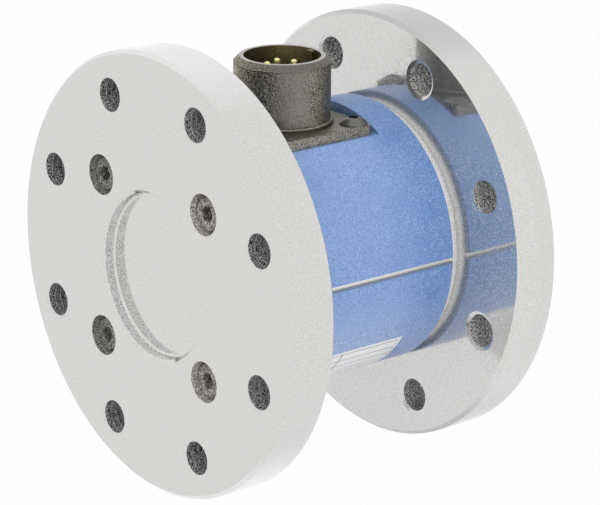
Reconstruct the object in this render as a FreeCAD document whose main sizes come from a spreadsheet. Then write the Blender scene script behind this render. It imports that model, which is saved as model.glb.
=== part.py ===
import FreeCAD, Part
import math
import os
from types import SimpleNamespace

import Sketcher
from FreeCAD import Placement, Rotation, Vector

# Static torque sensor with two flanges, a split housing and a round receptacle.
# The torque axis is X. The origin is the centre of the front flange's outer face.

# Driving dimensions in millimetres, with angles in degrees
dimensions = {
    # Turned body: flanges, hubs and measuring shaft
    "flange_radius": 45.0,
    "flange_thickness": 10.0,
    "rim_chamfer": 0.7,
    "flange_spacing": 46.5,
    "pilot_radius": 16.75,
    "pilot_depth": 2.85,
    "pilot_chamfer": 0.6,
    "pilot_floor_fillet": 0.65,
    "front_hub_length": 8.0,
    "rear_hub_length": 7.5,
    "shaft_radius": 9.0,
    "shaft_fillet": 5.0,
    # Tapped mounting holes
    "mount_hole_margin": 8.3,
    "mount_hole_radius": 3.4,
    "countersink_width": 0.7,
    "countersink_depth": 0.4,
    "mount_hole_angle": 22.5,
    # Housing screws through the front flange
    "housing_screw_inset": 3.9,
    "housing_screw_angle": 45.0,
    "counterbore_clearance": 0.65,
    "housing_screw_recess": 1.0,
    "housing_screw_clearance": 0.2,
    "housing_screw_radius": 2.0,
    "housing_screw_length": 12.0,
    "housing_screw_head_radius": 3.5,
    "housing_screw_head_height": 4.0,
    "housing_screw_head_chamfer": 0.4,
    "housing_screw_socket": 3.0,
    "housing_screw_socket_depth": 2.0,
    "tapping_extra_depth": 1.5,
    # Split housing
    "cover_radius": 27.9,
    "cover_wall": 6.9,
    "lip_wall": 1.15,
    "cover_gap": 2.0,
    "register_clearance": 0.1,
    "lip_clearance": 0.3,
    "shoulder_clearance": 1.0,
    "cover_edge_chamfer": 0.3,
    "seam_gap": 0.9,
    "seam_groove_depth": 0.5,
    # Locating pins across the seam
    "dowel_radius": 1.25,
    "dowel_length": 10.0,
    "dowel_inset": 5.0,
    "dowel_reach": 3.45,
    # Felt strip between housing lip and rear hub
    "strip_width": 2.0,
    "strip_groove_depth": 1.0,
    "strip_inset": 4.0,
    # Receptacle
    "shell_radius": 9.78,
    "shell_height": 15.75,
    "shell_wall": 2.0,
    "shell_rim_chamfer": 1.15,
    "collar_step": 0.57,
    "collar_height": 1.0,
    "collar_fillet": 0.35,
    "plate_edge": 2.85,
    "plate_thickness": 2.1,
    "plate_corner_radius": 1.3,
    "saddle_depth": 3.65,
    "saddle_clearance": 1.0,
    "saddle_margin": 1.6,
    "barrel_wall": 0.8,
    "barrel_depth": 6.0,
    "barrel_clearance": 0.2,
    "key_width": 1.6,
    "key_height": 0.9,
    "key_setback": 0.2,
    # Insulating insert and contacts
    "insert_step": 0.22,
    "insert_face_drop": 9.5,
    "insert_thickness": 9.5,
    "contact_circle_radius": 3.0,
    "contact_radius": 0.65,
    "contact_tip_drop": 1.4,
    "contact_tip_fillet": 0.52,
    "contact_collar_radius": 0.95,
    "contact_tail_length": 4.0,
    "contact_cup_radius": 0.4,
    "contact_cup_depth": 2.5,
    "ring_thickness": 1.0,
    "ring_width": 1.1,
    "ring_groove_depth": 0.3,
    "ring_opening": 3.0,
    # Connector seal and screws
    "seal_section_radius": 0.6,
    "seal_wall": 0.75,
    "seal_groove_play": 0.1,
    "connector_screw_step": 0.37,
    "connector_screw_radius": 1.5,
    "connector_screw_play": 0.1,
    "connector_screw_length": 6.0,
    "connector_screw_head_radius": 2.85,
    "connector_screw_head_height": 1.4,
    "connector_screw_head_edge": 0.25,
    "connector_screw_top_radius": 1.3,
    "connector_screw_crown": 2.5,
    "connector_screw_socket": 2.0,
    "connector_screw_socket_depth": 1.0,
    "connector_tapping_extra": 0.5,
    # Label on the lower half
    "label_thickness": 0.1,
    "label_start": 11.0,
    "label_length": 24.4,
    "label_height": 15.3,
    "label_top_angle": 34.5,
    # Strain gauges, terminal board and leads
    "gauge_length": 6.4,
    "gauge_width": 6.3,
    "gauge_thickness": 0.15,
    "gauge_angle": 45.0,
    "board_width": 14.0,
    "board_thickness": 1.0,
    "board_clearance": 0.5,
    "lead_radius": 0.4,
    "lead_bend_radius": 1.2,
    "lead_inset": 0.5,
}
mount_hole_count = 8
contact_count = 5
gauge_count = 4
edge_tolerance = 1e-4


class Size:
    """A dimension that carries its number and the sheet expression behind it."""

    def __init__(self, value, text):
        self.value = value
        self.text = text

    def __add__(self, other):
        other = as_size(other)
        return Size(self.value + other.value, f"({self.text} + {other.text})")

    def __sub__(self, other):
        other = as_size(other)
        return Size(self.value - other.value, f"({self.text} - {other.text})")

    def __mul__(self, factor):
        return Size(self.value * factor, f"({self.text} * {factor})")

    def __neg__(self):
        return self * -1


def as_size(value):
    return value if isinstance(value, Size) else Size(value, str(value))


def cosine(radius, angle):
    value = radius.value * math.cos(math.radians(angle.value))
    return Size(value, f"({radius.text} * cos({angle.text} * 1 deg))")


def sine(radius, angle):
    value = radius.value * math.sin(math.radians(angle.value))
    return Size(value, f"({radius.text} * sin({angle.text} * 1 deg))")


def arc_angle(length, radius):
    """Angle in degrees of an arc of that length."""
    return Size(math.degrees(length.value / radius.value), f"({length.text} / {radius.text} * 180 / pi)")


doc = FreeCAD.newDocument("TorqueSensor")
sheet = doc.addObject("Spreadsheet::Sheet", "Sizes")
for row, (name, value) in enumerate(dimensions.items(), start=1):
    sheet.set(f"A{row}", name)
    sheet.set(f"B{row}", str(value))
    sheet.setAlias(f"B{row}", name)
doc.recompute()
s = SimpleNamespace(**{name: Size(value, f"Sizes.{name}") for name, value in dimensions.items()})
zero = as_size(0)
nodes = []


# Modelling helpers

def new_body(name):
    body = doc.addObject("PartDesign::Body", name)
    body.Label = name
    nodes.append(body)
    return body


def origin_feature(body, role):
    return next(item for item in body.Origin.OriginFeatures if item.Role == role)


def new_sketch(body, name, plane, lift=zero):
    sketch = body.newObject("Sketcher::SketchObject", name)
    sketch.AttachmentSupport = [(origin_feature(body, plane), "")]
    sketch.MapMode = "FlatFace"
    sketch.AttachmentOffset = Placement(Vector(0, 0, lift.value), Rotation())
    sketch.setExpression(".AttachmentOffset.Base.z", lift.text)
    return sketch


def tie_length(sketch, kind, geometry, point, size, axis):
    if size.value == 0:
        sketch.addConstraint(Sketcher.Constraint("PointOnObject", geometry, point, axis))
        return
    index = sketch.addConstraint(Sketcher.Constraint(kind, -1, 1, geometry, point, size.value))
    sketch.setExpression(f"Constraints[{index}]", size.text)


def tie_point(sketch, geometry, point, along, up):
    tie_length(sketch, "DistanceX", geometry, point, along, -2)
    tie_length(sketch, "DistanceY", geometry, point, up, -1)


def draw_outline(sketch, corners):
    """Draw a closed outline through the corners, each tied to the sheet."""
    first = len(sketch.Geometry)
    count = len(corners)
    for i in range(count):
        start, end = corners[i], corners[(i + 1) % count]
        ends = [Vector(along.value, up.value, 0) for along, up in (start, end)]
        sketch.addGeometry(Part.LineSegment(*ends), False)
    for i in range(count):
        sketch.addConstraint(Sketcher.Constraint("Coincident", first + i, 2, first + (i + 1) % count, 1))
    for i, (along, up) in enumerate(corners):
        tie_point(sketch, first + i, 1, along, up)


def draw_rectangle(sketch, left, right, bottom, top):
    draw_outline(sketch, [(left, bottom), (right, bottom), (right, top), (left, top)])


def draw_circle(sketch, along, up, radius):
    circle = Part.Circle(Vector(along.value, up.value, 0), Vector(0, 0, 1), radius.value)
    geometry = sketch.addGeometry(circle, False)
    tie_point(sketch, geometry, 3, along, up)
    index = sketch.addConstraint(Sketcher.Constraint("Radius", geometry, radius.value))
    sketch.setExpression(f"Constraints[{index}]", radius.text)


def draw_hexagon(sketch, across_flats):
    """Draw a hexagon about the origin, from the distance across its flats."""
    corner_radius = across_flats * (1 / math.sqrt(3))
    angles = [as_size(60 * i) for i in range(6)]
    draw_outline(sketch, [(cosine(corner_radius, angle), sine(corner_radius, angle)) for angle in angles])


def draw_axis(sketch, start, end, up):
    """Draw a construction line along the sketch, to turn its outlines about."""
    line = Part.LineSegment(Vector(start.value, up.value, 0), Vector(end.value, up.value, 0))
    geometry = sketch.addGeometry(line, True)
    for point, along in ((1, start), (2, end)):
        tie_point(sketch, geometry, point, along, up)


def revolve(body, sketch, axis="H_Axis", kind="Revolution"):
    turned = body.newObject(f"PartDesign::{kind}", f"{sketch.Name}Turned")
    turned.Profile = sketch
    turned.ReferenceAxis = (sketch, [axis])
    turned.Angle = 360
    sketch.Visibility = False
    return turned


def pad(body, sketch, length, reversed_side=False, both_sides=False):
    block = body.newObject("PartDesign::Pad", f"{sketch.Name}Pad")
    block.Profile = sketch
    block.setExpression("Length", length.text)
    block.Reversed = reversed_side
    block.Midplane = both_sides
    return block


def pocket(body, sketch, depth=None, reversed_side=False, both_sides=False):
    """Cut the sketch away, through everything if no depth is given, and see that it cuts."""
    doc.recompute()
    before = body.Shape.Volume
    cut = body.newObject("PartDesign::Pocket", f"{sketch.Name}Pocket")
    cut.Profile = sketch
    if depth is None:
        cut.Type = "ThroughAll"
    else:
        cut.setExpression("Length", depth.text)
    cut.Reversed = reversed_side
    cut.Midplane = both_sides
    doc.recompute()
    if body.Shape.Volume >= before:
        raise RuntimeError(f"{cut.Name} cuts nothing")
    return cut


def polar(body, feature, role, count):
    """Repeat a feature round one of the body's own axes."""
    pattern = body.newObject("PartDesign::PolarPattern", f"{feature.Name}Ring")
    pattern.Originals = [feature]
    pattern.Axis = (origin_feature(body, role), [""])
    pattern.Angle = 360
    pattern.Occurrences = count
    body.Tip = pattern
    return pattern


def edges_where(shape, test):
    return [f"Edge{i}" for i, edge in enumerate(shape.Edges, start=1) if test(edge)]


def is_circle(edge, radius):
    return edge.Curve.TypeId == "Part::GeomCircle" and abs(edge.Curve.Radius - radius.value) < edge_tolerance


def is_circle_at(edge, radius, height, letter="z"):
    return is_circle(edge, radius) and abs(getattr(edge.Curve.Center, letter) - height.value) < edge_tolerance


def is_upright(edge):
    return abs(edge.Vertexes[0].Z - edge.Vertexes[-1].Z) > edge_tolerance


def fillet(body, radius, test):
    """Round the edges of the body's last feature that pass the test."""
    doc.recompute()
    base = body.Tip
    rounded = body.newObject("PartDesign::Fillet", f"{base.Name}Fillet")
    rounded.Base = (base, edges_where(base.Shape, test))
    rounded.setExpression("Radius", radius.text)


def place(body, x=zero, y=zero, z=zero, axis=Vector(1, 0, 0), angle=zero):
    body.Placement = Placement(Vector(x.value, y.value, z.value), Rotation(axis, angle.value))
    for letter, size in (("x", x), ("y", y), ("z", z)):
        body.setExpression(f".Placement.Base.{letter}", size.text)
    if angle is not zero:
        body.setExpression(".Placement.Rotation.Angle", angle.text)


def group(name, copies):
    """Gather separate solids of one fastener under one node."""
    node = doc.addObject("Part::Compound", name)
    node.Label = name
    node.Links = copies
    nodes.append(node)
    return node


def copy_of(source, name, x=zero, y=zero, z=zero):
    copy = doc.addObject("App::Link", name)
    copy.LinkedObject = source
    copy.LinkTransform = False
    copy.Placement = Placement(Vector(x.value, y.value, z.value), source.Placement.Rotation)
    for letter, size in (("x", x), ("y", y), ("z", z)):
        copy.setExpression(f".Placement.Base.{letter}", size.text)
    return copy


# Sizes and positions that follow from the dimensions
rear_flange_face = s.flange_thickness + s.flange_spacing
body_length = rear_flange_face + s.flange_thickness
front_hub_end = s.flange_thickness + s.front_hub_length
rear_hub_start = rear_flange_face - s.rear_hub_length
mount_circle_radius = s.flange_radius - s.mount_hole_margin

cover_end = rear_flange_face - s.cover_gap
cover_bore = s.cover_radius - s.cover_wall
lip_bore = s.cover_radius - s.lip_wall
front_hub_radius = cover_bore - s.register_clearance
rear_hub_radius = lip_bore - s.lip_clearance
shoulder = rear_hub_start - s.shoulder_clearance
half_seam = s.seam_gap * 0.5
gasket_edge = s.cover_radius - s.seam_groove_depth
strip_floor = rear_hub_radius - s.strip_groove_depth
strip_start = rear_hub_start + s.strip_inset - s.strip_width
housing_screw_circle = s.cover_radius - s.housing_screw_inset
counterbore_radius = s.housing_screw_head_radius + s.counterbore_clearance
counterbore_depth = s.housing_screw_head_height + s.housing_screw_recess

collar_radius = s.shell_radius + s.collar_step
shell_bore = s.shell_radius - s.shell_wall
insert_radius = shell_bore + s.insert_step
ring_radius = insert_radius + s.ring_groove_depth
barrel_radius = insert_radius + s.barrel_wall
saddle_bore = barrel_radius + s.barrel_clearance
insert_face = s.shell_height - s.insert_face_drop
insert_seat = insert_face - s.insert_thickness
contact_tail = insert_seat - s.contact_tail_length
screw_step = s.shell_radius + s.connector_screw_step
plate_half_width = screw_step + s.plate_edge
saddle_half_length = plate_half_width + s.saddle_clearance
saddle_height = s.cover_radius - s.saddle_depth
connector_place = shoulder - s.saddle_margin - saddle_half_length
plate_top = saddle_height + s.plate_thickness

board_inner = s.shaft_radius + s.shaft_fillet + s.board_clearance
board_outer = front_hub_radius - s.board_clearance
board_face = front_hub_end + s.board_thickness
lead_height = board_inner + s.lead_inset
lead_start = saddle_height + contact_tail + s.contact_cup_depth


# Torsion body: both flanges, both hubs and the measuring shaft, turned from one bar

def end_profile(face, inward):
    """Corners of a flange from the axis to its rim, for a face that looks outwards."""
    def at(depth):
        return face + depth if inward > 0 else face - depth

    return [
        (at(s.pilot_depth), zero),
        (at(s.pilot_depth), s.pilot_radius),
        (at(s.pilot_chamfer), s.pilot_radius),
        (face, s.pilot_radius + s.pilot_chamfer),
        (face, s.flange_radius - s.rim_chamfer),
        (at(s.rim_chamfer), s.flange_radius),
        (at(s.flange_thickness - s.rim_chamfer), s.flange_radius),
        (at(s.flange_thickness), s.flange_radius - s.rim_chamfer),
    ]


def make_torsion_body():
    body = new_body("torsion_body")
    profile = new_sketch(body, "TorsionProfile", "XY_Plane")
    waist = [
        (s.flange_thickness, front_hub_radius),
        (front_hub_end, front_hub_radius),
        (front_hub_end, s.shaft_radius),
        (rear_hub_start, s.shaft_radius),
        (rear_hub_start, rear_hub_radius),
        (rear_flange_face, rear_hub_radius),
    ]
    draw_outline(profile, end_profile(zero, 1) + waist + end_profile(body_length, -1)[::-1])
    revolve(body, profile)
    fillet(body, s.shaft_fillet, lambda edge: is_circle(edge, s.shaft_radius))
    floors = s.pilot_depth, body_length - s.pilot_depth
    fillet(body, s.pilot_floor_fillet,
           lambda edge: any(is_circle_at(edge, s.pilot_radius, floor, "x") for floor in floors))

    groove = new_sketch(body, "StripGroove", "XY_Plane")
    draw_rectangle(groove, strip_start, strip_start + s.strip_width, strip_floor, rear_hub_radius)
    revolve(body, groove, kind="Groove")

    hole = new_sketch(body, "MountHole", "XY_Plane", sine(mount_circle_radius, s.mount_hole_angle))
    centre = cosine(mount_circle_radius, s.mount_hole_angle)
    wall = centre + s.mount_hole_radius
    mouth = wall + s.countersink_width
    for near in (zero, rear_flange_face):
        far = near + s.flange_thickness
        draw_outline(hole, [
            (near, centre),
            (near, mouth),
            (near + s.countersink_depth, wall),
            (far - s.countersink_depth, wall),
            (far, mouth),
            (far, centre),
        ])
    draw_axis(hole, zero, body_length, centre)
    polar(body, revolve(body, hole, axis="Axis0", kind="Groove"), "X_Axis", mount_hole_count)

    for name, radius, depth in (
        ("Counterbore", counterbore_radius, counterbore_depth),
        ("ScrewPassage", s.housing_screw_radius + s.housing_screw_clearance, s.flange_thickness),
    ):
        holes = new_sketch(body, name, "YZ_Plane")
        for y, z in housing_screw_places(1) + housing_screw_places(-1):
            draw_circle(holes, y, z, radius)
        pocket(body, holes, depth, reversed_side=True)


def housing_screw_places(side):
    """Places (y, z) of the two screws that hold the upper half, side 1, or the lower half, side -1."""
    across = cosine(housing_screw_circle, s.housing_screw_angle)
    above = sine(housing_screw_circle, s.housing_screw_angle) * side
    return [(across, above), (-across, above)]


# Housing: two thick half shells that the front flange carries

def make_cover(name, side):
    """Half shell above the seam for side 1, below it for side -1."""
    body = new_body(name)
    label = name.title().replace("_", "")
    profile = new_sketch(body, f"{label}Profile", "XY_Plane")
    draw_outline(profile, [
        (s.flange_thickness, cover_bore),
        (s.flange_thickness, s.cover_radius),
        (cover_end - s.cover_edge_chamfer, s.cover_radius),
        (cover_end, s.cover_radius - s.cover_edge_chamfer),
        (cover_end, lip_bore),
        (shoulder, lip_bore),
        (shoulder, cover_bore),
    ])
    revolve(body, profile)

    split = new_sketch(body, f"{label}Split", "YZ_Plane")
    beyond = s.cover_radius * 2
    bottom, top = (-beyond, half_seam) if side > 0 else (-half_seam, beyond)
    draw_rectangle(split, -beyond, beyond, bottom, top)
    pocket(body, split, reversed_side=True)

    tapped = new_sketch(body, f"{label}ScrewHoles", "YZ_Plane", s.flange_thickness)
    for y, z in housing_screw_places(side):
        draw_circle(tapped, y, z, s.housing_screw_radius)
    grip = s.housing_screw_length - (s.flange_thickness - counterbore_depth)
    pocket(body, tapped, grip + s.tapping_extra_depth, reversed_side=True)

    pinned = new_sketch(body, f"{label}DowelHoles", "XY_Plane", half_seam * side)
    for x, y in dowel_places():
        draw_circle(pinned, x, y, s.dowel_radius)
    pocket(body, pinned, s.dowel_length * 0.5 - half_seam, reversed_side=side > 0)
    return body


def dowel_places():
    rows = (s.flange_thickness + s.dowel_inset, shoulder - s.dowel_inset)
    middle = cover_bore + s.dowel_reach
    return [(x, y) for x in rows for y in (middle, -middle)]


def make_saddle(body):
    """Mill the flat seat for the receptacle into the upper half, with its holes."""
    seat = new_sketch(body, "SaddleSeat", "XY_Plane", saddle_height)
    near, far = connector_place - saddle_half_length, connector_place + saddle_half_length
    draw_rectangle(seat, near, far, -s.cover_radius, s.cover_radius)
    pocket(body, seat, reversed_side=True)

    bore = new_sketch(body, "SaddleBore", "XY_Plane", saddle_height)
    draw_circle(bore, connector_place, zero, saddle_bore)
    pocket(body, bore)

    groove = new_sketch(body, "SealGroove", "XY_Plane", saddle_height)
    for radius in seal_groove_radii():
        draw_circle(groove, connector_place, zero, radius)
    pocket(body, groove, s.seal_section_radius * 2)

    tapped = new_sketch(body, "ConnectorScrewHoles", "XY_Plane", saddle_height)
    for x, y in connector_screw_places():
        draw_circle(tapped, connector_place + x, y, s.connector_screw_radius)
    grip = s.connector_screw_length - s.plate_thickness
    pocket(body, tapped, grip + s.connector_tapping_extra)


def seal_groove_radii():
    inner = saddle_bore + s.seal_wall
    return inner, inner + s.seal_section_radius * 2 + s.seal_groove_play


def connector_screw_places():
    return [(x, y) for x in (screw_step, -screw_step) for y in (screw_step, -screw_step)]


def make_seam_gasket(name, side):
    """Strip that fills the seam on one side, with a thin tongue between the housing's rear lips."""
    body = new_body(name)
    outline = new_sketch(body, f"GasketOutline{side + 1}", "XY_Plane")
    inner, tongue, outer = (radius * side for radius in (cover_bore, lip_bore, gasket_edge))
    draw_outline(outline, [
        (s.flange_thickness, inner),
        (shoulder, inner),
        (shoulder, tongue),
        (cover_end, tongue),
        (cover_end, outer),
        (s.flange_thickness, outer),
    ])
    pad(body, outline, s.seam_gap, both_sides=True)
    holes = new_sketch(body, f"GasketHoles{side + 1}", "XY_Plane")
    for x, y in dowel_places():
        if y.value * side > 0:
            draw_circle(holes, x, y, s.dowel_radius)
    pocket(body, holes, s.seam_gap * 2, both_sides=True)


def make_felt_strip():
    body = new_body("felt_strip")
    section = new_sketch(body, "FeltSection", "XY_Plane")
    draw_rectangle(section, strip_start, strip_start + s.strip_width, strip_floor, lip_bore)
    revolve(body, section)


# Fasteners

def make_housing_screws():
    body = doc.addObject("PartDesign::Body", "HousingScrew")
    profile = new_sketch(body, "HousingScrewProfile", "XY_Plane")
    top = -s.housing_screw_head_height
    draw_outline(profile, [
        (top, zero),
        (top, s.housing_screw_head_radius - s.housing_screw_head_chamfer),
        (top + s.housing_screw_head_chamfer, s.housing_screw_head_radius),
        (zero, s.housing_screw_head_radius),
        (zero, s.housing_screw_radius),
        (s.housing_screw_length, s.housing_screw_radius),
        (s.housing_screw_length, zero),
    ])
    revolve(body, profile)
    socket = new_sketch(body, "HousingScrewSocket", "YZ_Plane", top)
    draw_hexagon(socket, s.housing_screw_socket)
    pocket(body, socket, s.housing_screw_socket_depth, reversed_side=True)

    places = housing_screw_places(1) + housing_screw_places(-1)
    group("housing_screws", [
        copy_of(body, f"HousingScrewCopy{i}", counterbore_depth, y, z) for i, (y, z) in enumerate(places)
    ])


def make_seam_dowels():
    pin = doc.addObject("Part::Cylinder", "Dowel")
    pin.setExpression("Radius", s.dowel_radius.text)
    pin.setExpression("Height", s.dowel_length.text)
    group("seam_dowels", [
        copy_of(pin, f"DowelCopy{i}", x, y, s.dowel_length * -0.5) for i, (x, y) in enumerate(dowel_places())
    ])


def make_connector_screws():
    body = doc.addObject("PartDesign::Body", "ConnectorScrew")
    profile = new_sketch(body, "ConnectorScrewProfile", "XZ_Plane")
    top = s.connector_screw_head_height
    draw_outline(profile, [
        (zero, -s.connector_screw_length),
        (s.connector_screw_radius, -s.connector_screw_length),
        (s.connector_screw_radius, zero),
        (s.connector_screw_head_radius, zero),
        (s.connector_screw_head_radius, s.connector_screw_head_edge),
        (s.connector_screw_top_radius, top),
        (zero, top),
    ])
    revolve(body, profile, axis="V_Axis")
    fillet(body, s.connector_screw_crown,
           lambda edge: is_circle_at(edge, s.connector_screw_top_radius, top))
    socket = new_sketch(body, "ConnectorScrewSocket", "XY_Plane", top)
    draw_hexagon(socket, s.connector_screw_socket)
    pocket(body, socket, s.connector_screw_socket_depth)
    group("connector_screws", [
        copy_of(body, f"ConnectorScrewCopy{i}", connector_place + x, y, plate_top)
        for i, (x, y) in enumerate(connector_screw_places())
    ])


# Receptacle, each piece drawn about its own axis with zero height at the saddle

def make_connector_shell():
    body = new_body("connector_shell")
    plate = new_sketch(body, "ShellPlate", "XY_Plane")
    draw_rectangle(plate, -plate_half_width, plate_half_width, -plate_half_width, plate_half_width)
    pad(body, plate, s.plate_thickness)
    fillet(body, s.plate_corner_radius, is_upright)

    outside = new_sketch(body, "ShellOutside", "XZ_Plane")
    collar_top = s.plate_thickness + s.collar_height
    draw_outline(outside, [
        (zero, -s.barrel_depth),
        (barrel_radius, -s.barrel_depth),
        (barrel_radius, zero),
        (collar_radius, zero),
        (collar_radius, collar_top),
        (s.shell_radius, collar_top),
        (s.shell_radius, s.shell_height - s.shell_rim_chamfer),
        (s.shell_radius - s.shell_rim_chamfer, s.shell_height),
        (zero, s.shell_height),
    ])
    revolve(body, outside, axis="V_Axis")
    fillet(body, s.collar_fillet,
           lambda edge: is_circle_at(edge, collar_radius, collar_top))

    inside = new_sketch(body, "ShellInside", "XZ_Plane")
    draw_outline(inside, [
        (zero, -s.barrel_depth),
        (insert_radius, -s.barrel_depth),
        (insert_radius, insert_seat - s.ring_thickness),
        (ring_radius, insert_seat - s.ring_thickness),
        (ring_radius, insert_seat),
        (insert_radius, insert_seat),
        (insert_radius, insert_face),
        (shell_bore, insert_face),
        (shell_bore, s.shell_height),
        (zero, s.shell_height),
    ])
    revolve(body, inside, axis="V_Axis", kind="Groove")

    key = new_sketch(body, "ShellKey", "XY_Plane", insert_face)
    root = (shell_bore + s.shell_radius) * 0.5
    draw_rectangle(key, shell_bore - s.key_height, root, s.key_width * -0.5, s.key_width * 0.5)
    pad(body, key, s.insert_face_drop - s.key_setback)

    holes = new_sketch(body, "ShellScrewHoles", "XY_Plane")
    for x, y in connector_screw_places():
        draw_circle(holes, x, y, s.connector_screw_radius + s.connector_screw_play)
    pocket(body, holes, reversed_side=True)
    place(body, connector_place, zero, saddle_height)


def make_connector_insert():
    body = new_body("connector_insert")
    disc = new_sketch(body, "InsertDisc", "XY_Plane", insert_face)
    draw_circle(disc, zero, zero, insert_radius)
    pad(body, disc, s.insert_thickness, reversed_side=True)
    hole = new_sketch(body, "InsertHole", "XY_Plane", insert_face)
    draw_circle(hole, s.contact_circle_radius, zero, s.contact_radius)
    polar(body, pocket(body, hole), "Z_Axis", contact_count)
    place(body, connector_place, zero, saddle_height)


def make_insert_ring():
    body = new_body("insert_retaining_ring")
    ring = new_sketch(body, "RingOutline", "XY_Plane", insert_seat)
    draw_circle(ring, zero, zero, ring_radius)
    draw_circle(ring, zero, zero, insert_radius - s.ring_width)
    pad(body, ring, s.ring_thickness, reversed_side=True)
    opening = new_sketch(body, "RingOpening", "XY_Plane", insert_seat)
    draw_rectangle(opening, zero, ring_radius * 2, s.ring_opening * -0.5, s.ring_opening * 0.5)
    pocket(body, opening)
    place(body, connector_place, zero, saddle_height)


def contact_places():
    angles = [as_size(360 / contact_count * i) for i in range(contact_count)]
    return [(cosine(s.contact_circle_radius, angle), sine(s.contact_circle_radius, angle)) for angle in angles]


def make_contacts():
    tip = s.shell_height - s.contact_tip_drop
    for i, (x, y) in enumerate(contact_places(), start=1):
        body = new_body(f"contact_pin_{i}")
        profile = new_sketch(body, f"ContactProfile{i}", "XZ_Plane")
        draw_outline(profile, [
            (zero, contact_tail + s.contact_cup_depth),
            (s.contact_cup_radius, contact_tail + s.contact_cup_depth),
            (s.contact_cup_radius, contact_tail),
            (s.contact_collar_radius, contact_tail),
            (s.contact_collar_radius, insert_seat),
            (s.contact_radius, insert_seat),
            (s.contact_radius, tip),
            (zero, tip),
        ])
        revolve(body, profile, axis="V_Axis")
        fillet(body, s.contact_tip_fillet,
               lambda edge: is_circle_at(edge, s.contact_radius, tip))
        place(body, connector_place + x, y, saddle_height)


def make_connector_seal():
    ring = doc.addObject("Part::Torus", "connector_seal")
    ring.Label = "connector_seal"
    inner, outer = seal_groove_radii()
    ring.setExpression("Radius1", ((inner + outer) * 0.5).text)
    ring.setExpression("Radius2", s.seal_section_radius.text)
    nodes.append(ring)
    place(ring, connector_place, zero, saddle_height - s.seal_section_radius)


# Label, gauges and wiring

def make_curved_plate(name, start, length, inner, thickness, sweep, turn):
    """Plate bent about the torque axis, through an angle of sweep from the direction turn."""
    body = new_body(name)
    label = name.title().replace("_", "")
    section = new_sketch(body, f"{label}Section", "XY_Plane")
    draw_rectangle(section, start, start + length, inner, inner + thickness)
    turned = revolve(body, section)
    turned.setExpression("Angle", sweep.text)
    place(body, angle=turn)
    return body


def make_gauges():
    middle = (front_hub_end + rear_hub_start) * 0.5
    sweep = arc_angle(s.gauge_width, s.shaft_radius)
    for i in range(gauge_count):
        turn = s.gauge_angle + 360 / gauge_count * i - sweep * 0.5
        make_curved_plate(f"strain_gauge_{i + 1}", middle - s.gauge_length * 0.5, s.gauge_length,
                          s.shaft_radius, s.gauge_thickness, sweep, turn)


def make_terminal_board():
    sweep = arc_angle(s.board_width, board_inner)
    make_curved_plate("terminal_board", front_hub_end, s.board_thickness,
                      board_inner, board_outer - board_inner, sweep, as_size(90) - sweep * 0.5)


def make_label():
    sweep = arc_angle(s.label_height, s.cover_radius)
    make_curved_plate("label", s.flange_thickness + s.label_start, s.label_length,
                      s.cover_radius, s.label_thickness, sweep, s.label_top_angle + 180)


def lead_shape(x, y):
    """Wire from a contact's solder cup, down and along to the terminal board."""
    start = Vector(x.value, y.value, lead_start.value)
    corner = Vector(x.value, y.value, lead_height.value)
    end = Vector(board_face.value, y.value, lead_height.value)
    bend = s.lead_bend_radius.value
    above, beside = corner + Vector(0, 0, bend), corner - Vector(bend, 0, 0)
    middle = corner + Vector(-bend, 0, bend) + Vector(math.sqrt(0.5), 0, -math.sqrt(0.5)) * bend
    path = Part.Wire([
        Part.LineSegment(start, above).toShape(),
        Part.Arc(above, middle, beside).toShape(),
        Part.LineSegment(beside, end).toShape(),
    ])
    section = Part.Wire(Part.Circle(start, Vector(0, 0, 1), s.lead_radius.value).toShape())
    return path.makePipeShell([section], True, False)


def make_leads():
    leads = doc.addObject("Part::Feature", "lead_wires")
    leads.Label = "lead_wires"
    leads.Shape = Part.makeCompound([lead_shape(connector_place + x, y) for x, y in contact_places()])
    leads.Placement = Placement()
    nodes.append(leads)


make_torsion_body()
make_saddle(make_cover("upper_cover", 1))
make_cover("lower_cover", -1)
make_seam_gasket("left_seam_gasket", 1)
make_seam_gasket("right_seam_gasket", -1)
make_felt_strip()
make_housing_screws()
make_seam_dowels()
make_connector_shell()
make_connector_insert()
make_insert_ring()
make_contacts()
make_connector_seal()
make_connector_screws()
make_label()
make_gauges()
make_terminal_board()
make_leads()
doc.recompute()

for item in doc.Objects:
    if "Invalid" in item.State or "Error" in item.State:
        raise RuntimeError(f"{item.Name} failed: {item.State}")
for node in nodes:
    if node.Shape.isNull() or not node.Shape.isValid() or not node.Shape.Solids:
        raise RuntimeError(f"{node.Label} has no valid solid")

os.makedirs("parts", exist_ok=True)
for node in nodes:
    node.Shape.exportStep(f"parts/{node.Label}.step")
    box = node.Shape.BoundBox
    print(f"{node.Label}: {len(node.Shape.Solids)} solids, {node.Shape.Volume:.1f} mm3, "
          f"x {box.XMin:.2f} to {box.XMax:.2f}, y {box.YMin:.2f} to {box.YMax:.2f}, "
          f"z {box.ZMin:.2f} to {box.ZMax:.2f}")
print(f"{len(nodes)} nodes written")
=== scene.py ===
import math

import bpy
import numpy as np
from mathutils import Matrix, Vector


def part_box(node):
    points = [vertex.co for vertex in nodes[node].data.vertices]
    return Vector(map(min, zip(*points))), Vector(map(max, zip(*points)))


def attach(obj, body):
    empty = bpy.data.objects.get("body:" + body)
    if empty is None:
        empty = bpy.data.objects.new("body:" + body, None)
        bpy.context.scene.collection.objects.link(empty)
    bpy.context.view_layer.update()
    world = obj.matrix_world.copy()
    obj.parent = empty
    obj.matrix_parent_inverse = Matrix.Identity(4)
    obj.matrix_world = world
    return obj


# Looks of a static torque sensor: polished flanges, blue split housing, olive receptacle

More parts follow.
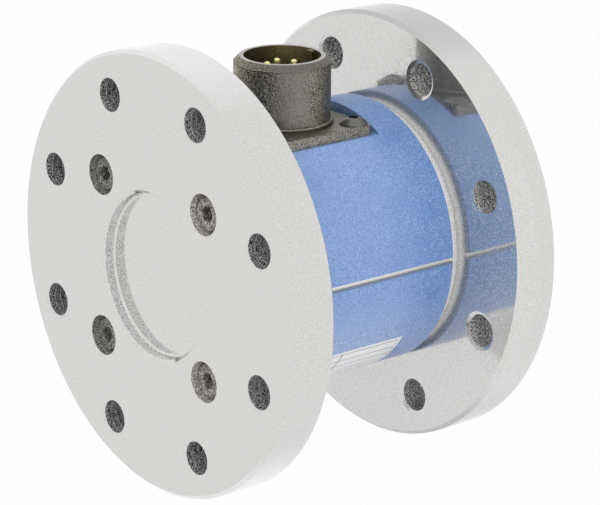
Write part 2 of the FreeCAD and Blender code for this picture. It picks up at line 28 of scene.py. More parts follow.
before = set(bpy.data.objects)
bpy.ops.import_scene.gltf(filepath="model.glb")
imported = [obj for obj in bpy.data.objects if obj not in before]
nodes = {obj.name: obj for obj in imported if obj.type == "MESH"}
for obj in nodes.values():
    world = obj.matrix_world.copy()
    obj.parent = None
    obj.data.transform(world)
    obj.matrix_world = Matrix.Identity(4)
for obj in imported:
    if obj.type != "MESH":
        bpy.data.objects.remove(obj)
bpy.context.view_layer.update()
mm = 0.001

# Places that the looks share with the frame, in millimetres
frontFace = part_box("torsion_body")[0].x / mm
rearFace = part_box("torsion_body")[1].x / mm
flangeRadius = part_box("torsion_body")[1].z / mm
coverStart, coverEnd = (corner.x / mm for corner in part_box("upper_cover"))
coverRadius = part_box("lower_cover")[1].y / mm
flangeThickness = coverStart - frontFace
innerFace = rearFace - flangeThickness    # of the rear flange
shellAxis = sum(corner.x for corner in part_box("connector_shell")) / 2 / mm
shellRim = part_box("connector_shell")[1].z / mm
plateThickness = 2.1
saddle = {"height": 24.25, "reach": 14.0}
plateTop = saddle["height"] + plateThickness

mountHoles = {"circle": 36.7, "radius": 3.4, "mouth": 4.1, "count": 8, "countersink": 0.4}
housingHoles = {"circle": 24.0, "radius": 4.15, "count": 4}


# Shader maths

class Wire:
    # one output of a node; arithmetic on it adds Math nodes
    def __init__(self, tree, socket):
        self.tree = tree
        self.socket = socket

    def __add__(self, other):
        return self.tree.math("ADD", self, other)

    def __radd__(self, other):
        return self.tree.math("ADD", other, self)

    def __sub__(self, other):
        return self.tree.math("SUBTRACT", self, other)

    def __rsub__(self, other):
        return self.tree.math("SUBTRACT", other, self)

    def __mul__(self, other):
        return self.tree.math("MULTIPLY", self, other)

    def __rmul__(self, other):
        return self.tree.math("MULTIPLY", other, self)

    def __truediv__(self, other):
        return self.tree.math("DIVIDE", self, other)

    def __rtruediv__(self, other):
        return self.tree.math("DIVIDE", other, self)

    def __lt__(self, other):
        return self.tree.math("LESS_THAN", self, other)

    def __gt__(self, other):
        return self.tree.math("GREATER_THAN", self, other)

    def __abs__(self):
        return self.tree.math("ABSOLUTE", self)

    def apply(self, operation, *others):
        # any other operation of a Math node
        return self.tree.math(operation, self, *others)

    def between(self, low, high):
        return (self > low) * (self < high)

    def step(self, start, end):
        # 0 on start's side, 1 on end's side and smooth between them
        return self.tree.node("ShaderNodeMapRange", {"interpolation_type": "SMOOTHSTEP"},
                              {0: self, 1: start, 2: end})

    def spread(self, low, high):
        # stretches 0 to 1 over low to high
        return self * (high - low) + low


class Tree:
    # a tree of nodes; node() adds any node to it
    def __init__(self, tree):
        self.nodes = tree.nodes
        self.links = tree.links

    def put(self, socket, value):
        if isinstance(value, Wire):
            self.links.new(value.socket, socket)
        else:
            socket.default_value = value

    def node(self, kind, settings, sockets, output=0):
        # sockets holds values or links by label or number
        made = self.nodes.new(kind)
        for setting, value in settings.items():
            setattr(made, setting, value)
        for label, value in sockets.items():
            self.put(made.inputs[label], value)
        return Wire(self, made.outputs[output])

    def math(self, operation, *values):
        return self.node("ShaderNodeMath", {"operation": operation}, dict(enumerate(values)))


class Paint(Tree):
    # a material with one Principled shader
    def __init__(self, name):
        self.material = bpy.data.materials.new(name)
        self.material.use_nodes = True
        super().__init__(self.material.node_tree)
        self.onObject = self.node("ShaderNodeTexCoord", {}, {}, "Object")

    def set(self, label, value):
        self.put(self.nodes["Principled BSDF"].inputs[label], value)

    def place(self):
        # object coordinates in millimetres, as x, y and z
        return [self.node("ShaderNodeSeparateXYZ", {}, {0: self.onObject}, i) * (1 / mm) for i in range(3)]

    def noise(self, size, detail=1.0):
        # value from 0 to 1 that varies over about size millimetres
        return self.node("ShaderNodeTexNoise", {"noise_dimensions": "3D"},
                         {"Vector": self.onObject, "Scale": 1 / (size * mm), "Detail": detail})

    def lineNoise(self, along, size, detail):
        # value from 0 to 1 that varies with one number in millimetres
        return self.node("ShaderNodeTexNoise", {"noise_dimensions": "1D"},
                         {"W": along, "Scale": 1 / size, "Detail": detail})

    def mix(self, share, first, second):
        # colour between first and second; a Mix node takes its colours at inputs 6 and 7
        return self.node("ShaderNodeMix", {"data_type": "RGBA"}, {0: share, 6: first, 7: second}, 2)

    def bump(self, height, depth=1.0, strength=1.0):
        # depth is the real height in millimetres of a value of 1
        self.set("Normal", self.node("ShaderNodeBump", {}, {"Height": height, "Distance": depth * mm,
                                                            "Strength": strength}))

    def finish(self, look, tone, grain):
        # the roughness and the bump follow the grain
        self.set("Base Color", tone)
        self.set("Roughness", grain.spread(*look["roughness"]))
        self.bump(grain, look["bump"], look["strength"])
        self.cover(look["nodes"])

    def cover(self, names):
        for name in names:
            slots = nodes[name].data.materials
            slots.clear()
            slots.append(self.material)


def grey(value):
    return (value, value, value, 1.0)


def distance(first, second):
    return (first * first + second * second).apply("SQRT")


def holeDistance(y, z, holes):
    # distance from the nearest hole's axis, for a circle of holes whose first lies half a step from +Y
    part = 2 * math.pi / holes["count"]
    around = z.apply("ARCTAN2", y) / part
    local = (around.apply("FLOORED_MODULO", 1.0) - 0.5) * part
    reach = distance(y, z)
    return distance(reach * local.apply("COSINE") - holes["circle"], reach * local.apply("SINE"))


# Polished steel of the torsion body

steel = {
    "colour": (0.715, 0.707, 0.692, 1.0),
    "speck": (0.635, 0.629, 0.616, 1.0),
    "mottleSize": 0.32,
    "grainSize": 0.20,
    "grainStep": (0.34, 0.66),
    "grainDepth": 0.0012,
    "cloudSize": 9.0,
    "cloudDetail": 3.0,
    "ringSize": 0.12,
    "ringDetail": 3.0,
    "ringLean": 0.7,
    "ringDepth": 0.0003,
    "metal": 0.93,
    "roughness": (0.05, 0.09),
}

# the rear flange's inner face, where dull and hazy grains break up what it mirrors
mirror = {
    "margin": 0.5,
    "speckShare": 0.3,
    "grainSize": 0.26,
    "dullStep": (0.50, 0.66),
    "dullRoughness": 0.20,
    "hazeStep": (0.36, 0.48),
    "clearHeight": (18.0, 28.0),
    "clearShare": 0.6,
    "haze": 0.32,
    "light": (0.86, 0.85, 0.84, 1.0),
    "lightShare": 0.45,
    "smoothing": 0.75,
    "levelShare": 0.5,
}

# the flanges' rims, with a painted highlight on the front one and painted shade on the rear one, towards
# the top and the bottom
rimLightAndShade = {
    "top": (37.0, 45.0),
    "bottom": (24.0, 36.0),
    "width": 0.8,
    "paintedHighlight": (0.86, 0.85, 0.84, 1.0),
    "paintedHighlightShare": 0.6,
    "paintedShade": (0.50, 0.50, 0.495, 1.0),
    "paintedShadeShare": 0.9,
}

# the satin rear hub, lifted by a painted glow where its gap lies in shade
hub = {
    "start": 48.0,
    "radius": 27.2,
    "gap": 0.02,
    "colour": (1.0, 1.0, 0.99, 1.0),
    "edge": (0.66, 0.655, 0.645, 1.0),
    "edgeStep": (0.9, 1.5),
    "speck": (0.22, 0.21, 0.195, 1.0),
    "speckShare": 0.55,
    "glow": (0.18, 0.18, 0.178, 1.0),
    "roughness": 0.45,
}

# the pilot recesses, of which the front one's wall is painted
pilot = {
    "radius": 16.75,
    "depth": 2.85,
    "margin": 0.03,
    "wall": (0.98, 0.98, 0.985, 1.0),
    "speck": (0.40, 0.40, 0.40, 1.0),
}

# the stippled walls of the tapped holes and of the counterbores; the tapped holes and the two counterbores
# at +Y are painted dark as shade, and the deep counterbores get a painted glow
bores = {
    "grainSize": 0.25,
    "grainStep": (0.41, 0.59),
    "threadEdge": (0.01, 0.06),
    "threadShade": (0.020, 0.021, 0.018, 1.0),
    "threadLight": (0.58, 0.58, 0.57, 1.0),
    "rearShare": 0.6,
    "edge": (-0.01, 0.02),
    "dark": (0.14, 0.13, 0.12, 1.0),
    "light": (0.95, 0.915, 0.89, 1.0),
    "leftShade": (0.045, 0.044, 0.034, 1.0),
    "dull": (0.52, 0.52, 0.46, 1.0),
    "glow": (0.035, 0.034, 0.032, 1.0),
    "glowStart": 0.8,
    "metal": 0.35,
    "roughness": 0.5,
}


def paintRimLightAndShade(paint, tone, x, z, reach):
    # painted highlight on the front rim and painted shade on the rear rim, near the top and the bottom
    aside = z.step(*rimLightAndShade["top"]) + (z * -1.0).step(*rimLightAndShade["bottom"])
    onRim = aside * (reach > flangeRadius - rimLightAndShade["width"])
    tone = paint.mix(onRim * (x < flangeThickness) * rimLightAndShade["paintedHighlightShare"], tone, rimLightAndShade["paintedHighlight"])
    return paint.mix(onRim * (x > flangeThickness) * rimLightAndShade["paintedShadeShare"], tone, rimLightAndShade["paintedShade"])


def hubTone(paint, x, dots):
    start, end = hub["edgeStep"]
    tone = paint.mix(x.step(coverEnd + start, coverEnd + end), hub["colour"], hub["edge"])
    return paint.mix((1 - dots) * hub["speckShare"], tone, hub["speck"])


def threadTone(paint, x, dots):
    # dark stipple painted as shade inside the tapped holes
    tone = paint.mix(dots, bores["threadShade"], bores["threadLight"])
    return paint.mix((x > rearFace / 2) * dots * bores["rearShare"], tone, bores["light"])


def boreTone(paint, y, dots):
    # the counterbores at +Y get a deeper painted shade
    onLeft = y > 0.0
    return paint.mix(dots, paint.mix(onLeft, bores["dark"], bores["leftShade"]),
                     paint.mix(onLeft, bores["light"], bores["dull"]))


def insideHoles(fromHole, holes, edge):
    start, end = edge
    return 1 - fromHole.step(holes["radius"] + start, holes["radius"] + end)


def countersinkLevel(fromHole):
    # the countersinks are so shallow and bright that they blend with the faces
    width = mountHoles["mouth"] - mountHoles["radius"]
    slant = math.hypot(width, mountHoles["countersink"])
    level = (mountHoles["mouth"] - fromHole).apply("MAXIMUM", 0.0).apply("MINIMUM", width)
    return level * (mountHoles["countersink"] / width * slant / width)


def makeSteel():
    paint = Paint("polishedSteel")
    x, y, z = paint.place()
    reach = distance(y, z)
    grain = paint.noise(steel["grainSize"])
    dots = grain.step(*steel["grainStep"])
    mottle = paint.noise(steel["mottleSize"]).step(*steel["grainStep"])
    boreDots = paint.noise(bores["grainSize"]).step(*bores["grainStep"])

    onMirror = x.between(innerFace - mirror["margin"], rearFace - flangeThickness / 2)
    mirrorGrain = paint.noise(mirror["grainSize"])
    dull = onMirror * mirrorGrain.step(*mirror["dullStep"])
    clear = z.step(*mirror["clearHeight"]) * mirror["clearShare"]
    haze = onMirror * (1 - mirrorGrain.step(*mirror["hazeStep"])) * (1 - clear)

    tone = paint.mix(mottle, steel["speck"], steel["colour"])
    tone = paint.mix(onMirror * (1 - dots) * mirror["speckShare"], tone, steel["speck"])
    tone = paint.mix(haze * mirror["lightShare"], tone, mirror["light"])
    tone = paintRimLightAndShade(paint, tone, x, z, reach)
    onHub = x.between(hub["start"], innerFace - hub["gap"]) * (reach < hub["radius"])
    tone = paint.mix(onHub, tone, hubTone(paint, x, boreDots))
    onWall = reach.between(pilot["radius"] - pilot["margin"], pilot["radius"] + pilot["margin"])
    onWall = onWall * (x < pilot["depth"])
    tone = paint.mix(onWall, tone, paint.mix(dots, pilot["speck"], pilot["wall"]))
    fromThread = holeDistance(y, z, mountHoles)
    inThread = insideHoles(fromThread, mountHoles, bores["threadEdge"])
    tone = paint.mix(inThread, tone, threadTone(paint, x, boreDots))
    inBore = insideHoles(holeDistance(y, z, housingHoles), housingHoles, bores["edge"])
    inBore = inBore * (x < flangeThickness)
    tone = paint.mix(inBore, tone, boreTone(paint, y, boreDots))
    paint.set("Base Color", tone)

    inHole = inThread.apply("MAXIMUM", inBore)
    metal = steel["metal"] + inHole * (bores["metal"] - steel["metal"])
    paint.set("Metallic", metal - onHub * steel["metal"] - haze * mirror["haze"])
    clouds = paint.noise(steel["cloudSize"], steel["cloudDetail"]).spread(*steel["roughness"])
    roughness = clouds + inHole * bores["roughness"] + onHub * hub["roughness"]
    paint.set("Roughness", roughness + dull * mirror["dullRoughness"])
    # painted glow: the shaded rear hub and the deep counterbores emit a little light, though they are no
    # lamps
    glow = paint.mix(onHub, grey(0.0), hub["glow"])
    paint.set("Emission Color", paint.mix(inBore * (x > bores["glowStart"]), glow, bores["glow"]))
    paint.set("Emission Strength", 1.0)
    paint.material.cycles.emission_sampling = "NONE"

    # turning marks and grain, weaker on the mirror face, and the countersinks' level, by half there
    rings = paint.lineNoise(reach + x * steel["ringLean"], steel["ringSize"], steel["ringDetail"])
    turned = rings * steel["ringDepth"] + grain * steel["grainDepth"]
    turned = turned * (1 - onMirror * mirror["smoothing"])
    paint.bump(turned + countersinkLevel(fromThread) * (1 - onMirror * mirror["levelShare"]))
    paint.cover(["torsion_body"])
    return paint


# Blue paint of the half shells: a painted sheen makes it paler below, painted shade makes it darker and
# richer towards the rear, and it is coarser at both

blue = {
    "nodes": ["upper_cover", "lower_cover"],
    "colour": (0.300, 0.455, 0.790, 1.0),
    "deep": (0.110, 0.222, 0.500, 1.0),
    "grainSize": 0.19,
    "grainStep": (0.34, 0.66),
    "cloudSize": 14.0,
    "cloudDetail": 3.0,
    "cloudStep": (0.45, 0.80),
    "cloudShare": 0.3,
    "paintedSheen": (0.46, 0.56, 0.84, 1.0),
    "sheenDepth": (3.0, 17.0),
    "sheenShare": 0.6,
    "richRearShade": (0.060, 0.205, 0.560, 1.0),
    "rearShadePlace": (38.0, 52.0),
    "rearShadeWander": 14.0,
    "rearShadeShare": 0.35,
    "lowDepth": (6.0, 14.0),
    "lowShare": 0.6,
    "rearPlace": (36.0, 50.0),
    "rearShare": 0.45,
    "shade": (0.055, 0.180, 0.500, 1.0),
    "shadeSize": 0.30,
    "shadeStep": (0.38, 0.62),
    "light": (0.60, 0.73, 0.95, 1.0),
    "lightSize": 0.28,
    "lightStep": (0.56, 0.66),
    "skin": 0.15,
    "edge": (0.10, 0.13, 0.19, 1.0),
    "edgeStep": (-1.05, -0.70),
    "edgeShare": (0.4, 1.0),
    "seam": (0.26, 0.265, 0.28, 1.0),
    "seamStep": (0.46, 0.52),
    "saddle": (0.17, 0.27, 0.47, 1.0),
    "saddleDepth": 0.1,
    "saddleMargin": 0.2,
    "end": (0.26, 0.34, 0.52, 1.0),
    "endDepth": 0.05,
    "roughness": (0.25, 0.38),
    "refraction": 1.7,
    "bump": 0.012,
    "strength": 0.5,
}


def makeBlue():
    paint = Paint("bluePaint")
    paint.set("Metallic", 0.0)
    paint.set("IOR", blue["refraction"])
    x, y, z = paint.place()
    depth = z * -1.0
    grain = paint.noise(blue["grainSize"])
    clouds = paint.noise(blue["cloudSize"], blue["cloudDetail"])
    tone = paint.mix(grain.step(*blue["grainStep"]), blue["deep"], blue["colour"])
    tone = paint.mix(clouds.step(*blue["cloudStep"]) * blue["cloudShare"], tone, blue["deep"])
    # painted sheen: paler blue towards the bottom
    tone = paint.mix(depth.step(*blue["sheenDepth"]) * blue["sheenShare"], tone, blue["paintedSheen"])
    # painted shade: darker, richer blue towards the rear flange
    wander = x + (clouds - 0.5) * blue["rearShadeWander"]
    tone = paint.mix(wander.step(*blue["rearShadePlace"]) * blue["rearShadeShare"], tone, blue["richRearShade"])

    low = depth.step(*blue["lowDepth"]) * blue["lowShare"]
    rear = x.step(*blue["rearPlace"]) * blue["rearShare"]
    zone = low.apply("MAXIMUM", rear)
    shades = 1 - paint.noise(blue["shadeSize"]).step(*blue["shadeStep"])
    tone = paint.mix(shades * zone, tone, blue["shade"])
    lights = paint.noise(blue["lightSize"]).step(*blue["lightStep"])
    tone = paint.mix(lights * zone, tone, blue["light"])

    # the edge below the seam, the seam's walls, the saddle's walls painted dark blue as shade, and the end
    # face
    below = distance(y, z) < coverRadius - blue["skin"]
    underSeam = (z < 0.0) * z.step(*blue["edgeStep"]) * (1 - below)
    tone = paint.mix(underSeam * grain.spread(*blue["edgeShare"]), tone, blue["edge"])
    tone = paint.mix((1 - abs(z).step(*blue["seamStep"])) * below, tone, blue["seam"])
    half = saddle["reach"] + blue["saddleMargin"]
    shadedSaddle = x.between(shellAxis - half, shellAxis + half)
    shadedSaddle = shadedSaddle * below * (z > saddle["height"] - blue["saddleDepth"])
    # painted shade on the saddle's walls
    tone = paint.mix(shadedSaddle, tone, blue["saddle"])
    tone = paint.mix(x > coverEnd - blue["endDepth"], tone, blue["end"])
    paint.finish(blue, tone, grain)


# Browned housing screws, stippled dark, with a deeper painted shade on the two at +Y and a painted light
# that lifts the sockets, where little light reaches

screws = {
    "nodes": ["housing_screws"],
    "colour": (0.66, 0.625, 0.61, 1.0),
    "dark": (0.045, 0.040, 0.037, 1.0),
    "leftShade": (0.020, 0.020, 0.015, 1.0),
    "dull": (0.48, 0.475, 0.415, 1.0),
    "socketLight": (0.66, 0.64, 0.61, 1.0),
    "hollowRadius": 1.85,
    "hollowStart": 0.02,
    "size": 0.30,
    "detail": 3.0,
    "contrast": (0.37, 0.69),
    "patchSize": 1.3,
    "patchDetail": 2.0,
    "patchStep": (0.35, 0.65),
    "patchShare": (0.6, 1.0),
    "metal": 0.3,
    "roughness": (0.45, 0.6),
    "bump": 0.004,
    "strength": 0.6,
}


def makeScrews():
    paint = Paint("browned")
    paint.set("Metallic", screws["metal"])
    x, y, z = paint.place()
    onLeft = y > 0.0
    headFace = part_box("housing_screws")[0].x / mm
    socketLight = holeDistance(y, z, housingHoles) < screws["hollowRadius"]
    socketLight = socketLight * (x > headFace + screws["hollowStart"])
    grain = paint.noise(screws["size"], screws["detail"])
    patches = paint.noise(screws["patchSize"], screws["patchDetail"]).step(*screws["patchStep"])
    share = grain.step(*screws["contrast"]) * patches.spread(*screws["patchShare"])
    # painted shade, deeper on the screws at +Y; painted light in the sockets
    dark = paint.mix(onLeft, screws["dark"], screws["leftShade"])
    light = paint.mix(socketLight, paint.mix(onLeft, screws["colour"], screws["dull"]), screws["socketLight"])
    paint.finish(screws, paint.mix(share, dark, light), grain)


# Small pieces, each with its own finish, whose grain goes from other to colour

finishes = {
    "satinStrip": {"nodes": ["left_seam_gasket", "right_seam_gasket"], "colour": (0.95, 0.94, 0.92, 1.0),
                   "other": (0.82, 0.81, 0.79, 1.0), "metal": 0.6, "roughness": (0.30, 0.42), "size": 0.4,
                   "bump": 0.004},
    "whiteFelt": {"nodes": ["felt_strip"], "colour": (0.66, 0.63, 0.57, 1.0),
                  "other": (0.42, 0.40, 0.36, 1.0), "metal": 0.0, "roughness": (0.85, 1.0), "size": 0.12,
                  "bump": 0.08},
    "brightSteel": {"nodes": ["seam_dowels", "insert_retaining_ring"], "colour": (0.55, 0.55, 0.54, 1.0),
                    "other": (0.45, 0.45, 0.44, 1.0), "metal": 1.0, "roughness": (0.15, 0.25), "size": 0.3,
                    "bump": 0.002},
    "darkScrew": {"nodes": ["connector_screws"], "colour": (0.205, 0.203, 0.200, 1.0),
                  "other": (0.15, 0.148, 0.144, 1.0), "metal": 1.0, "roughness": (0.28, 0.40), "size": 0.3,
                  "bump": 0.004},
    "insertPlastic": {"nodes": ["connector_insert"], "colour": (0.060, 0.050, 0.028, 1.0),
                      "other": (0.035, 0.030, 0.018, 1.0), "metal": 0.0, "roughness": (0.45, 0.6),
                      "size": 0.5, "bump": 0.01},
    "goldPlate": {"nodes": [f"contact_pin_{i + 1}" for i in range(5)], "colour": (0.95, 0.88, 0.42, 1.0),
                  "other": (0.88, 0.76, 0.32, 1.0), "metal": 0.8, "roughness": (0.25, 0.38), "size": 0.3,
                  "bump": 0.002},
    "blackRubber": {"nodes": ["connector_seal"], "colour": (0.02, 0.02, 0.02, 1.0),
                    "other": (0.03, 0.03, 0.03, 1.0), "metal": 0.0, "roughness": (0.6, 0.75), "size": 0.3,
                    "bump": 0.01},
    "gaugeFilm": {"nodes": [f"strain_gauge_{i + 1}" for i in range(4)], "colour": (0.72, 0.45, 0.12, 1.0),
                  "other": (0.60, 0.36, 0.09, 1.0), "metal": 0.0, "roughness": (0.3, 0.4), "size": 0.4,
                  "bump": 0.002},
    "greenBoard": {"nodes": ["terminal_board"], "colour": (0.03, 0.16, 0.07, 1.0),
                   "other": (0.02, 0.11, 0.05, 1.0), "metal": 0.0, "roughness": (0.25, 0.4), "size": 0.5,
                   "bump": 0.004},
    "redSleeve": {"nodes": ["lead_wires"], "colour": (0.55, 0.05, 0.04, 1.0),
                  "other": (0.42, 0.04, 0.03, 1.0), "metal": 0.0, "roughness": (0.35, 0.5), "size": 0.5,
                  "bump": 0.004},
}
everyFinish = {"detail": 3.0, "strength": 0.6}


def makeFinishes():
    for name, finish in finishes.items():
        look = {**everyFinish, **finish}
        paint = Paint(name)
        paint.set("Metallic", look["metal"])
        grain = paint.noise(look["size"], look["detail"])
        paint.finish(look, paint.mix(grain, look["other"], look["colour"]), grain)


# Olive plating of the receptacle: a painted highlight band makes it greyer in the middle and leaves it
# brown at both sides; painted shade darkens the chamfer below a lighter rim top

olive = {
    "nodes": ["connector_shell"],
    "boreRadius": 7.85,
    "barrelRadius": 9.78,
    "chamfer": 1.15,
    "margin": 0.01,
    "colour": (0.245, 0.238, 0.222, 1.0),
    "dark": (0.074, 0.058, 0.022, 1.0),
    "grainSize": 0.19,
    "grainStep": (0.38, 0.60),
    "patchSize": 2.2,
    "patchDetail": 2.0,
    "patchShift": 0.12,
    "turn": (0.78, 0.62),
    "highlightStep": (-3.5, 1.0),
    "highlightEnd": (3.6, 7.0),
    "endShare": 0.6,
    "highlightShift": 0.22,
    "fleck": (0.66, 0.63, 0.53, 1.0),
    "fleckSize": 0.22,
    "fleckStep": (0.51, 0.60),
    "chamferFleckCut": 0.4,
    "chamferShade": (0.12, 0.115, 0.105, 1.0),
    "chamferShadeStep": (-0.05, 0.1),
    "chamferShadeSide": (-8.5, -4.0),
    "chamferShadeShare": 0.5,
    "lineDrop": 0.18,
    "lineStep": (0.16, 0.08),
    "lineShare": 0.35,
    "plate": (0.50, 0.485, 0.455, 1.0),
    "plateHighlight": 0.45,
    "plateShare": 0.6,
    "inside": (0.36, 0.30, 0.17, 1.0),
    "insideDark": (0.13, 0.105, 0.055, 1.0),
    "rim": (0.52, 0.51, 0.485, 1.0),
    "rimShare": (0.6, 1.0),
    "collarShade": (0.060, 0.048, 0.022, 1.0),
    "collarReach": (0.3, 0.8),
    "collarHeight": (0.02, 0.65),
    "collarShadeShare": 0.8,
    "roughness": (0.34, 0.50),
    "bump": 0.015,
    "strength": 0.5,
}


def makeOlive():
    paint = Paint("olivePlating")
    paint.set("Metallic", 1.0)
    x, y, z = paint.place()
    across = x - shellAxis
    reach = distance(across, y)
    grain = paint.noise(olive["grainSize"])
    patches = paint.noise(olive["patchSize"], olive["patchDetail"])
    beside = across * olive["turn"][0] - y * olive["turn"][1]
    # painted highlight: a band across the middle of the barrel with lighter grain and fewer flecks
    highlightBand = beside.step(*olive["highlightStep"]) * (1 - beside.step(*olive["highlightEnd"]) * olive["endShare"])
    onPlate = z < plateTop + olive["margin"]
    highlightBand = highlightBand * (1 - onPlate) + onPlate * olive["plateHighlight"]
    shift = (patches - 0.5) * olive["patchShift"] + (highlightBand - 0.5) * olive["highlightShift"]
    share = (grain + shift).step(*olive["grainStep"])

    # painted shade darkens the chamfer below the rim, over a thin dark line
    chamferFoot = shellRim - olive["chamfer"]
    start, end = olive["chamferShadeStep"]
    chamferShade = z.step(chamferFoot + start, chamferFoot + end)
    flecks = paint.noise(olive["fleckSize"]).step(*olive["fleckStep"])
    flecks = flecks * (1 - highlightBand) * (1 - chamferShade * olive["chamferFleckCut"])
    line = abs(z - (chamferFoot - olive["lineDrop"])).step(*olive["lineStep"])
    tone = paint.mix(share, olive["dark"], olive["colour"])
    tone = paint.mix(flecks, tone, olive["fleck"])
    tone = paint.mix(chamferShade * beside.step(*olive["chamferShadeSide"]) * olive["chamferShadeShare"], tone, olive["chamferShade"])
    tone = paint.mix(line * olive["lineShare"], tone, olive["dark"])
    tone = paint.mix(onPlate * share * olive["plateShare"], tone, olive["plate"])

    inside = (reach < olive["boreRadius"]) * (z < shellRim - olive["margin"])
    tone = paint.mix(inside, tone, paint.mix(share, olive["insideDark"], olive["inside"]))
    onRim = z > shellRim - olive["margin"]
    tone = paint.mix(onRim * grain.spread(*olive["rimShare"]), tone, olive["rim"])
    # painted shade at the foot of the barrel, on the collar
    shadeAtCollar = reach.between(*[olive["barrelRadius"] + edge for edge in olive["collarReach"]])
    shadeAtCollar = shadeAtCollar * z.between(*[plateTop + edge for edge in olive["collarHeight"]])
    tone = paint.mix(shadeAtCollar * olive["collarShadeShare"], tone, olive["collarShade"])
    paint.finish(olive, tone, grain)


# White label with a bare printed form: a frame, ruled rows and one divider

label = {
    "nodes": ["label"],
    "colour": (0.98, 0.98, 0.98, 1.0),
    "patch": (0.88, 0.88, 0.885, 1.0),
    "patchSize": 0.3,
    "patchDetail": 2.0,
    "patchStep": (0.35, 0.65),
    "ink": (0.06, 0.06, 0.065, 1.0),
    "inkShare": 0.95,
    "margin": 0.8,
    "line": 0.12,
    "rows": 2.4,
    "rowLine": 0.18,
    "divider": 8.5,
    "roughness": (0.35, 0.5),
    "bump": 0.004,
    "strength": 0.5,
}


def makeLabel():
    paint = Paint("labelStock")
    paint.set("Metallic", 0.0)
    x, z = paint.place()[::2]
    low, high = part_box("label")
    left, right = low.x / mm + label["margin"], high.x / mm - label["margin"]
    # heights along the housing's curve
    top = math.asin(high.z / mm / coverRadius) * coverRadius - label["margin"]
    bottom = math.asin(low.z / mm / coverRadius) * coverRadius + label["margin"]
    along = (z / coverRadius).apply("ARCSINE") * coverRadius
    inside = x.between(left, right) * along.between(bottom, top)
    lines = ((top - along) / label["rows"]).apply("FRACT") * label["rows"] < label["rowLine"]
    for place in (left, right, left + label["divider"]):
        lines = lines.apply("MAXIMUM", abs(x - place) < label["line"])
    grain = paint.noise(label["patchSize"], label["patchDetail"])
    tone = paint.mix(grain.step(*label["patchStep"]), label["patch"], label["colour"])
    tone = paint.mix(lines * inside * label["inkShare"], tone, label["ink"])
    paint.finish(label, tone, grain)


# Surfaces

def gridMesh(name, points, paint):
    # faces join each point of a rows by columns grid to the next along both, and the last column to
    # the first
    rows, columns = points.shape[:2]
    row, j = np.meshgrid(np.arange(rows - 1) * columns, np.arange(columns), indexing="ij")
    nextRow, nextColumn = row + columns, (j + 1) % columns
    corners = [row + j, nextRow + j, nextRow + nextColumn, row + nextColumn]
    faces = np.stack(corners, -1).reshape(-1, 4)
    mesh = bpy.data.meshes.new(name)
    mesh.from_pydata((points.reshape(-1, 3) * mm).tolist(), [], faces.tolist())
    mesh.materials.append(paint.material)
    mesh.shade_smooth()
    made = bpy.data.objects.new(name, mesh)
    bpy.context.scene.collection.objects.link(made)
    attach(made, "root")


# Floor corners of the two pilot recesses, as a smooth strip on the coarser turned corner

corner = {
    "radius": 0.65,
    "lift": 0.008,
    "overlap": 0.02,
    "across": 14,
    "around": 360,
}


def makeCorners(paint):
    # a quarter circle about (x, r) = (depth - radius, pilotRadius - radius), turned about the X axis;
    # the order of the columns makes both strips face into their recess
    slope = np.linspace(-corner["overlap"], np.pi / 2 + corner["overlap"], corner["across"])[:, None]
    turn = np.linspace(0, 2 * np.pi, corner["around"], endpoint=False)[None]
    size = corner["radius"] - corner["lift"]
    depth = pilot["depth"] - corner["radius"] + size * np.cos(slope)
    reach = pilot["radius"] - corner["radius"] + size * np.sin(slope)
    for side, face, inwards in (("front", frontFace, 1), ("rear", rearFace, -1)):
        place = np.broadcast_arrays(face + inwards * depth, reach * np.cos(turn), reach * np.sin(turn))
        gridMesh(f"{side}PilotCorner", np.stack(place, -1)[:, ::-inwards], paint)


# Thread ridges in the tapped holes, painted dark as shade, with a painted light on the first turn at the
# mouth

thread = {
    "pitch": 1.25,
    "crest": 0.10,
    "bury": 0.06,
    "crestWidth": 0.10,
    "rootWidth": 0.60,
    "inset": 0.75,
    "stepsPerTurn": 40,
    "colour": (0.55, 0.55, 0.54, 1.0),
    "dark": (0.030, 0.031, 0.028, 1.0),
    "grainSize": 0.20,
    "grainStep": (0.34, 0.66),
    "mouthLight": (0.60, 0.60, 0.59, 1.0),
    "firstStep": (1.0, 1.5),
    "metal": 0.35,
    "roughness": (0.4, 0.6),
}


def threadRidge(start, end, centre):
    # a trapezium of (along, rise) carried round a helix: at the angle t it lies at the depth
    # start + pitch t / 2 pi + along and the radius + bury - rise; at both ends it shrinks to a point,
    # and its columns are reversed to make the faces look away from the ridge
    turns = (end - start) / thread["pitch"]
    angle = np.linspace(0, 2 * np.pi * turns, int(turns * thread["stepsPerTurn"]))
    fade = np.clip(np.minimum(angle, angle[-1] - angle) / np.pi, 0, 1)[:, None]
    half, crest = thread["rootWidth"] / 2, thread["crestWidth"] / 2
    along = np.array([-half, -crest, crest, half])[None] * fade
    rise = (np.array([0, 1, 1, 0]) * (thread["crest"] + thread["bury"]))[None] * fade
    reach = mountHoles["radius"] + thread["bury"] - rise
    turn = angle[:, None]
    x = start + thread["pitch"] * turn / (2 * np.pi) + along
    return np.stack([x, centre[0] + reach * np.cos(turn), centre[1] + reach * np.sin(turn)], -1)[:, ::-1]


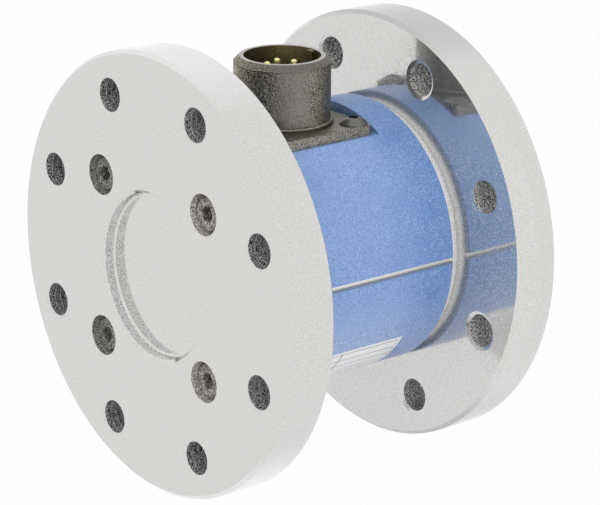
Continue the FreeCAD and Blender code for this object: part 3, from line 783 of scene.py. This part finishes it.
def makeThreads():
    paint = Paint("threadSteel")
    paint.set("Metallic", thread["metal"])
    x = paint.place()[0]
    grain = paint.noise(thread["grainSize"])
    tone = paint.mix(grain.step(*thread["grainStep"]), thread["dark"], thread["colour"])
    # painted light on the first turn, near the mouth of the hole
    atMouth = 1 - x.step(*thread["firstStep"])
    paint.set("Base Color", paint.mix(atMouth, tone, thread["mouthLight"]))
    paint.set("Roughness", grain.spread(*thread["roughness"]))
    for side, near in (("front", frontFace), ("rear", innerFace)):
        start, end = near + thread["inset"], near + flangeThickness - thread["inset"]
        for i in range(mountHoles["count"]):
            angle = (i + 0.5) * 2 * math.pi / mountHoles["count"]
            centre = mountHoles["circle"] * math.cos(angle), mountHoles["circle"] * math.sin(angle)
            gridMesh(f"{side}Thread{i + 1}", threadRidge(start, end, centre), paint)


# Stage: white floor and surroundings, soft lamps and the camera

stage = {
    "floorSize": 6.0,
    "floorGrey": 0.85,
    "worldLevel": 0.90,
    "shadowShare": 0.03,
}


def whiteForRays(tree):
    # 1 for rays from the camera, off a glossy surface or through glass
    camera = tree.node("ShaderNodeLightPath", {}, {}, "Is Camera Ray")
    glossy = tree.node("ShaderNodeLightPath", {}, {}, "Is Glossy Ray")
    through = tree.node("ShaderNodeLightPath", {}, {}, "Is Transmission Ray")
    return camera.apply("MAXIMUM", glossy).apply("MAXIMUM", through)


def makeWorld():
    world = bpy.data.worlds.new("studio")
    world.use_nodes = True
    tree = Tree(world.node_tree)
    background = tree.nodes["Background"]
    tree.put(background.inputs["Color"], grey(1.0))
    tree.put(background.inputs["Strength"], whiteForRays(tree).spread(stage["worldLevel"], 1.0))
    bpy.context.scene.world = world


def makeFloor():
    # seen directly it glows white but keeps a faint shadow; light that it sends back is plain
    material = bpy.data.materials.new("floorWhite")
    material.use_nodes = True
    tree = Tree(material.node_tree)
    tree.nodes.remove(tree.nodes["Principled BSDF"])
    plain = tree.node("ShaderNodeBsdfDiffuse", {}, {"Color": grey(stage["floorGrey"])})
    glow = tree.node("ShaderNodeEmission", {}, {"Color": grey(1.0)})
    share = whiteForRays(tree) * (1 - stage["shadowShare"])
    mixed = tree.node("ShaderNodeMixShader", {}, {0: share, 1: plain, 2: glow})
    tree.put(tree.nodes["Material Output"].inputs["Surface"], mixed)

    half = stage["floorSize"] / 2
    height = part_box("torsion_body")[0].z
    corners = [(x, y, height) for x, y in ((-half, -half), (half, -half), (half, half), (-half, half))]
    mesh = bpy.data.meshes.new("floor")
    mesh.from_pydata(corners, [], [(0, 1, 2, 3)])
    mesh.materials.append(material)
    floor = bpy.data.objects.new("floor", mesh)
    bpy.context.scene.collection.objects.link(floor)


lamps = {
    "keySoftbox": {"place": (-0.62, -0.20, 0.85), "size": 0.7, "power": 2.0},
    "fillSoftbox": {"place": (-0.10, -0.80, 0.0), "size": 0.5, "power": 1.5},
}


def makeLamps():
    middle = Vector(((frontFace + rearFace) / 2 * mm, 0, 0))
    for name, lamp in lamps.items():
        light = bpy.data.lights.new(name, "AREA")
        light.shape = "DISK"
        light.size = lamp["size"]
        light.energy = lamp["power"]
        made = bpy.data.objects.new(name, light)
        made.location = lamp["place"]
        made.visible_glossy = False    # polished faces mirror plain white surroundings
        made.rotation_euler = (middle - made.location).to_track_quat("-Z", "Y").to_euler()
        bpy.context.scene.collection.objects.link(made)


# the camera's place and directions, solved from the edges of both flanges
view = {
    "lens": 165.0,
    "filmWidth": 36.0,
    "nearest": 0.01,
    "place": (-0.29726, -0.41712, 0.17350),
    "aim": (0.59430924, 0.74104113, -0.31249732),
    "right": (0.7814196, -0.6239726, 0.00644975),
}


def makeCamera():
    camera = bpy.data.cameras.new("camera")
    camera.lens = view["lens"]
    camera.sensor_width = view["filmWidth"]
    camera.sensor_fit = "HORIZONTAL"
    camera.clip_start = view["nearest"]
    made = bpy.data.objects.new("camera", camera)
    back = -Vector(view["aim"]).normalized()
    right = Vector(view["right"]).normalized()
    up = back.cross(right)
    made.matrix_world = Matrix.Translation(view["place"]) @ Matrix((right, up, back)).transposed().to_4x4()
    bpy.context.scene.collection.objects.link(made)
    bpy.context.scene.camera = made


print("finishes")
polish = makeSteel()
makeBlue()
makeScrews()
makeFinishes()
makeOlive()
makeLabel()
print("threads and corners")
makeCorners(polish)
makeThreads()
print("stage")
makeWorld()
makeFloor()
makeLamps()
makeCamera()
bpy.context.scene.view_settings.view_transform = "Standard"
